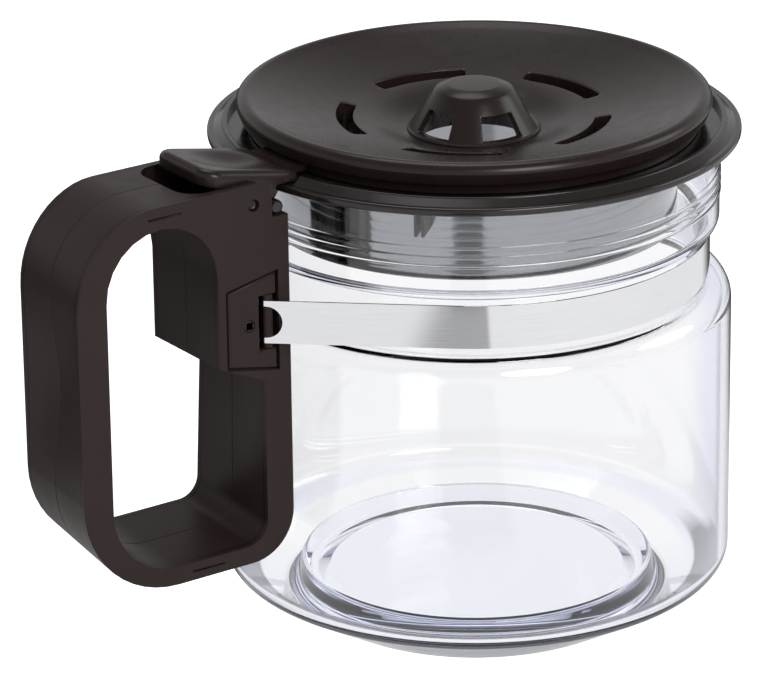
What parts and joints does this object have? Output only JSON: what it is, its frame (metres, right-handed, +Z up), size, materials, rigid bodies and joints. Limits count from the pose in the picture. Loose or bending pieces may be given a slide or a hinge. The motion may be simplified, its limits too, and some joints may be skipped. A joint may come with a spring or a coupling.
{
  "type": "coffee server carafe",
  "caption": "Glass coffee server with a steel neck band, a hollow loop handle in two halves, a neck collar and a vented lid that a thumb lever tips up on a hinge pin.",
  "frame": {"origin": "centre of the glass vessel's flat foot", "axes": "+Z up along the vessel's axis, the handle along -X, the seam between the handle's halves in the plane y = 0"},
  "size_m": [0.191, 0.132, 0.1379],
  "materials": {
    "glass": "clear, blown",
    "band_steel": "bright rolled strip",
    "sleeve_steel": "polished grey",
    "collar_plastic": "moulded, glossy dark brown",
    "handle_plastic": "moulded, satin dark brown",
    "lid_plastic": "moulded, semi-gloss dark brown",
    "dark_steel": "blackened steel"
  },
  "bodies": {
    "server": {"glass_vessel": "glass", "steel_band": "band_steel", "collar": "collar_plastic", "neck_sleeve": "sleeve_steel", "handle_right": "handle_plastic", "handle_left": "handle_plastic", "anchor_plate_right": "handle_plastic", "anchor_plate_left": "handle_plastic", "anchor_screw_right": "dark_steel", "anchor_screw_left": "dark_steel", "hinge_pin": "dark_steel"},
    "lid": {"lid": "lid_plastic", "drip_dome": "lid_plastic", "thumb_lever": "lid_plastic"}
  },
  "joints": [
    {"name": "lid_hinge", "type": "hinge", "parent": "server", "child": "lid", "pos_m": [-0.0751, 0, 0.1242], "axis": [0, -1, 0], "range_deg": [0, 45]}
  ]
}
